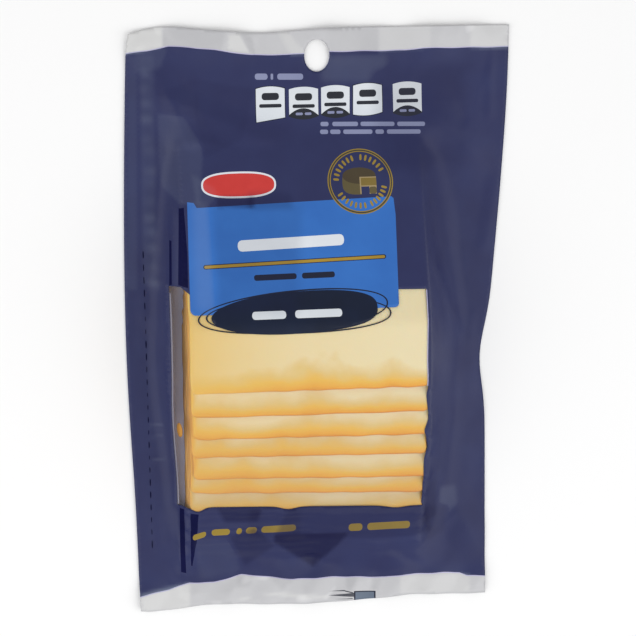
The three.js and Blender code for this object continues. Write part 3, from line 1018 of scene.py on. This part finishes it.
# %% Beads along a path
def beads_along_path():
    tree = bpy.data.node_groups.new("beads_along_path", "GeometryNodeTree")
    sizes = ("Pitch", "Bead Length", "Bead Width", "Bead Height", "Smallest Size")
    for name, kind in (("Geometry", "Geometry"), *((name, "Float") for name in sizes), ("Seed", "Int"),
                       ("Material", "Material")):
        tree.interface.new_socket(name, in_out="INPUT", socket_type=f"NodeSocket{kind}")
    tree.interface.new_socket("Geometry", in_out="OUTPUT", socket_type="NodeSocketGeometry")
    given = add(tree, "NodeGroupInput").outputs
    curve = add(tree, "GeometryNodeMeshToCurve", {"Mesh": given["Geometry"]})
    stepped = add(tree, "GeometryNodeResampleCurve", {"Curve": curve, "Length": given["Pitch"]},
                  mode="LENGTH")
    tangent = add(tree, "GeometryNodeInputTangent")
    turned = add(tree, "FunctionNodeAlignRotationToVector", {"Vector": tangent}, axis="Y")
    ball = add(tree, "GeometryNodeMeshUVSphere", {"Segments": 12, "Rings": 8, "Radius": 0.5})
    size = add(tree, "ShaderNodeCombineXYZ",
               {"X": given["Bead Width"], "Y": given["Bead Length"], "Z": given["Bead Height"]})
    bead = add(tree, "GeometryNodeTransform", {"Geometry": ball, "Scale": size})
    # The third and fourth sockets of the random value are its smallest and largest number
    chance = add(tree, "FunctionNodeRandomValue", {2: given["Smallest Size"], 3: 1.0, "Seed": given["Seed"]},
                 data_type="FLOAT")
    placed = add(tree, "GeometryNodeInstanceOnPoints",
                 {"Points": stepped, "Instance": bead, "Rotation": turned, "Scale": chance.outputs[1]})
    solid = add(tree, "GeometryNodeRealizeInstances", {"Geometry": placed})
    shaded = add(tree, "GeometryNodeSetShadeSmooth", {"Geometry": solid})
    painted = add(tree, "GeometryNodeSetMaterial", {"Geometry": shaded, "Material": given["Material"]})
    add(tree, "NodeGroupOutput", {"Geometry": painted})
    return tree


def path_on_film(name, start, end, lift, count=60):
    """An open line of points on the front web, as a mesh without faces."""
    x = np.linspace(start[0], end[0], count)
    y = np.linspace(start[1], end[1], count)
    z = sample(front_field, x, y) + lift
    mesh = bpy.data.meshes.new(name)
    mesh.from_pydata([(a * MM, b * MM, c * MM) for a, b, c in zip(x, y, z)],
                     [(i, i + 1) for i in range(count - 1)], [])
    return linked(name, mesh)


def grow(obj, tree, values):
    """Runs a node tree on the object with these inputs, and keeps the mesh that it makes."""
    growth = obj.modifiers.new("growth", "NODES")
    growth.node_group = tree
    for item in tree.interface.items_tree:
        if item.in_out == "INPUT" and item.name in values:
            growth[item.identifier] = values[item.name]
    return bake_modifiers(obj)


beads = beads_along_path()
print("nodes in the tree:", len(beads.nodes))

# %% Slits
# The slits are real cuts; their near-black ink is painted shade inside them
slits = grow(path_on_film("perforation_slits", (-69.3, 28.0), (-68.3, -88.0), 0.2), beads, {
    "Pitch": 4.9 * MM, "Bead Length": 3.2 * MM, "Bead Width": 0.5 * MM, "Bead Height": 0.3 * MM,
    "Smallest Size": 0.45, "Seed": 3, "Material": INKS["slit"],
})
print("slits:", len(slits.data.polygons), "faces")

# %% [markdown]
# ## Back web
# The back web is printed navy outside, and its inside shows grey through the window beside the
# stack. It lies flat, and its two ends are clear like the front's.

# %% Back web
BACK_NET = 2.5
inside_of_back = ink_on_film("inner_face_of_back_web", "#dadaf4", "#c8c8e4", 0.45)
back_points, back_triangles, back_regions = cut_web([shape("navy", navy_field())], BACK_NET)
back_z = sample(back_field, back_points[:, 0], back_points[:, 1])
back = mesh_object(
    "back_web", np.column_stack([back_points, back_z]), back_triangles,
    [inside_of_back, INKS["seal"]], [0 if r >= 0 else 1 for r in back_regions],
)
back.data.materials.append(INKS["navy"])
thicken(back, BACK_GAUGE)
for face in back.data.polygons:
    if face.normal.z < -0.5 and face.material_index == 0:
        face.material_index = 2
print("back film:", len(back.data.polygons), "faces")

# %% [markdown]
# ## Slices of cheese
# A mild washed-rind cheese is pressed in a block whose outside is dyed with annatto, and cut into
# slices. Each slice is pale inside and turns orange towards its four edges, where the dye soaked
# in. Each is a thin slab with rounded, slightly ragged edges. The distance to the nearest edge is
# kept as an attribute, and the material reads its colours from it. Two more attributes make the
# slices yellower towards their left, most on the top one, and dim those in the film's shade.


# %% Slice meshes
def edge_spacing(count, fine):
    """Places from -1 to 1, close together near both ends."""
    t = np.linspace(-1, 1, count)
    return np.sign(t) * (1 - (1 - abs(t)) ** fine)


def round_corners(across, along, half, radius=2.5):
    """Moves the grid's corner squares on to quarter discs."""
    a, b = (np.clip(abs(place) - (half - radius), 0, radius) for place in (across, along))
    moved = []
    for place, own, other in ((across, a, b), (along, b, a)):
        new = np.where((a > 0) & (b > 0), own * np.sqrt(1 - other ** 2 / (2 * radius ** 2)), own)
        moved.append(place + np.sign(place) * (new - own))
    return moved


# How far in from its edge a slice is rounded, and how far its faces drop there
EDGE_WIDTH, EDGE_DROP = 0.7, 0.75 * 0.7
# How deep the dye soaks in at an end, and how many times less at the left and right sides
SOAK_DEPTH, TOP_SOAKS, OTHER_SOAKS = 12.0, (4.0, 14.0), (2.4, 4.0)
WARMTH_BELOW = 0.35
# Points along a slice's side, how they crowd towards its ends, and how soon an edge's rag fades
SLICE_POINTS, CROWDING, RAG_FADE = 61, 1.7, 6
# How much each slice lies in the film's shade
SHADES = [0.0, 0.06, 0.05, 0.12, 0.12, 0.18, 0.32, 0.3, 0.3, 0.3]


def ragged(local, t):
    """A sum of small waves, for an edge that isn't quite straight."""
    waves = [(local.uniform(0.01, 0.09), local.uniform(3, 26), local.uniform(0, 6)) for _ in range(6)]
    return sum(height * np.sin(pitch * t + shift) for height, pitch, shift in waves)


def make_slice(index):
    """A slab on its own grid, with the rag of its edges fading out within a few millimetres."""
    this = slices[index]
    local = np.random.default_rng(100 + index)
    places = edge_spacing(SLICE_POINTS, CROWDING)
    u, v = np.meshgrid(places, places)
    along = v * HALF_SIDE + ragged(local, u) * abs(v) ** RAG_FADE
    across = u * HALF_SIDE + ragged(local, v) * abs(u) ** RAG_FADE
    across, along = round_corners(across, along, HALF_SIDE)
    from_edge = (1 - np.maximum(abs(u), abs(v))) * HALF_SIDE
    nearness = 1 - np.minimum(from_edge, EDGE_WIDTH) / EDGE_WIDTH
    round_off = EDGE_DROP * (1 - np.sqrt(np.clip(1 - nearness ** 2, 0, 1)))
    x = this["x"] + across
    y = this["y"] + along + this["slope"] * across
    low = np.interp(along, this["along"], this["height"])
    top = low + SLICE_THICK - round_off
    base = low + round_off
    n = len(places)
    points = np.concatenate([np.stack([x, y, z], -1).reshape(-1, 3) for z in (top, base)])
    faces = []
    for a in (j * n + i for j in range(n - 1) for i in range(n - 1)):
        square = (a, a + 1, a + n + 1, a + n)
        faces += [square, tuple(n * n + corner for corner in reversed(square))]
    rim = list(range(n)) + [j * n + n - 1 for j in range(1, n)]
    rim += [(n - 1) * n + i for i in range(n - 2, -1, -1)] + [j * n for j in range(n - 2, 0, -1)]
    for a, b in zip(rim, rim[1:] + rim[:1]):
        faces.append((a, n * n + a, n * n + b, b))
    obj = mesh_object(f"cheese_slice_{index + 1:02d}", points, faces, [cheese])
    # The dye soaks in further at the ends than at the sides, where one millimetre counts as several
    from_ends = (1 - abs(v)) * HALF_SIDE
    left_soak, right_soak = TOP_SOAKS if index == 0 else OTHER_SOAKS
    rim_mm = 0.9 if index < 3 else 0.1
    from_sides = ((1 - abs(u)) * HALF_SIDE + rim_mm) * np.where(u < 0, left_soak, right_soak)
    to_left = 0.4 * np.clip((36 - across) / 83, 0, 1) + 0.42 * np.clip(-across / 47, 0, 1) ** 1.5
    warmth = to_left * (1.0 if index == 0 else WARMTH_BELOW)
    for name, values in (("rind_mm", np.minimum(from_ends, from_sides)), ("warmth", warmth),
                         ("shade", np.full_like(across, SHADES[index]))):
        keep_numbers(obj, name, np.tile(values.ravel(), 2))
    return obj


def cheese_paste():
    """Gives a paste that is orange at its rind and pale inside, as deep as its dye has soaked in."""
    material, tree, place = new_material("annatto_rinded_cheese")
    uneven = add(tree, "ShaderNodeMapRange", {"Value": noise(tree, place, 45.0, 3.0), "From Min": 0.3,
                                              "From Max": 0.7, "To Min": 0.55, "To Max": 1.7})
    soaked = add(tree, "ShaderNodeMath", {0: attribute(tree, "rind_mm"), 1: uneven}, operation="MULTIPLY")
    depth = add(tree, "ShaderNodeMath", {0: soaked, 1: SOAK_DEPTH}, operation="DIVIDE")
    paste = ramp(tree, depth, [(0.0, "#bd681e"), (0.03, "#e0932f"), (0.1, "#f2ae38"), (0.27, "#f3c252"),
                               (0.5, "#ebce8a"), (0.9, "#f3e4b9")])
    for name, hexa in (("warmth", "#ecc463"), ("shade", "#a88c6e")):
        paste = blended(tree, paste, attribute(tree, name), hexa)
    grain = add(tree, "ShaderNodeBump", {"Height": noise(tree, place, 700.0, 3.0), "Strength": 0.25,
                                         "Distance": 0.15 * MM})
    surface(tree, {"Base Color": paste, "Normal": grain, "Roughness": 0.5, "IOR": 1.45,
                   "Subsurface Weight": 0.3, "Subsurface Scale": 1.5 * MM,
                   "Subsurface Radius": (1.0, 0.7, 0.35)})
    return material


cheese = cheese_paste()
cheese_slices = [make_slice(index) for index in range(len(slices))]
print("slices:", len(cheese_slices), "with", len(cheese_slices[0].data.polygons), "faces each")

# %% [markdown]
# ## What rides on the frame
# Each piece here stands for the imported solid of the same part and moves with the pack's one body.

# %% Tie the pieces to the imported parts
for piece, node, slot in ((printed, "printed_film", "printed_film"), (window, "window_film", "clear_film"),
                          (back, "back_film", "back_film")):
    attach(piece, "root")
    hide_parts(node)
for index, piece in enumerate(cheese_slices):
    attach(piece, "root")
    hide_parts(f"slice_{index + 1:02d}")
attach(slits, "root")
print("pieces:", len(cheese_slices) + 4)

# %% [markdown]
# ## Studio
# The pack lies on a plain pale floor between two large soft lights under a white sky, as for a
# shop's picture. The camera stands 0.9 m away. It leans 10 degrees to the left and 9.5 towards
# the hang-hole end.

# %% Floor, lights and camera
scene = bpy.context.scene
scene.view_settings.view_transform = "Standard"

floor_material, floor_tree, _ = new_material("pale_studio_floor")
surface(floor_tree, {"Base Color": linear("#f8f8f8"), "Roughness": 0.8})
FLOOR_HALF = 2000.0
floor = mesh_object(
    "studio_floor",
    [(a * FLOOR_HALF, b * FLOOR_HALF, 0) for a, b in ((-1, -1), (1, -1), (1, 1), (-1, 1))],
    [(0, 1, 2, 3)], [floor_material], smooth_shaded=False,
)
# A little below the pack, so that the back web never lies in the floor's plane
floor.location.z = -0.0002

world = bpy.data.worlds.new("studio_world")
scene.world = world
world.use_nodes = True
for name, value in (("Color", linear("#ffffff")), ("Strength", 0.62)):
    world.node_tree.nodes["Background"].inputs[name].default_value = value

SOFTBOX_SIZE, SOFTBOX_WATTS = (1.3, 1.5), 7.2
for name, place in (("left_softbox", (-0.85, -0.35, 0.85)), ("right_softbox", (0.85, -0.45, 0.9))):
    light = bpy.data.lights.new(name, "AREA")
    light.shape = "RECTANGLE"
    light.size, light.size_y = SOFTBOX_SIZE
    light.energy = SOFTBOX_WATTS
    softbox = linked(name, light)
    softbox.location = place
    softbox.rotation_euler = (-Vector(place)).to_track_quat("-Z", "Y").to_euler()

TILT_LEFT, TILT_TOP, ROLL = math.radians(10.0), math.radians(9.5), math.radians(-0.6)
DISTANCE, VIEW_WIDTH, SENSOR_WIDTH = 0.9, 0.2518, 36.0
AIM = Vector((-0.45, 0.3, 0.0)) * MM
out = Vector((-math.tan(TILT_LEFT), math.tan(TILT_TOP), 1.0)).normalized()
right = Vector((0, 1, 0)).cross(out).normalized()
up = out.cross(right)
rolled_right = math.cos(ROLL) * right + math.sin(ROLL) * up
rolled_up = out.cross(rolled_right)
camera_data = bpy.data.cameras.new("camera")
camera_data.sensor_width = SENSOR_WIDTH
camera_data.lens = SENSOR_WIDTH * DISTANCE / VIEW_WIDTH
camera = linked("camera", camera_data)
placed = Matrix((rolled_right, rolled_up, out)).transposed().to_4x4()
placed.translation = AIM + out * DISTANCE
camera.matrix_world = placed
scene.camera = camera
print("camera at", tuple(round(c, 3) for c in placed.translation), "lens", round(camera_data.lens, 1))
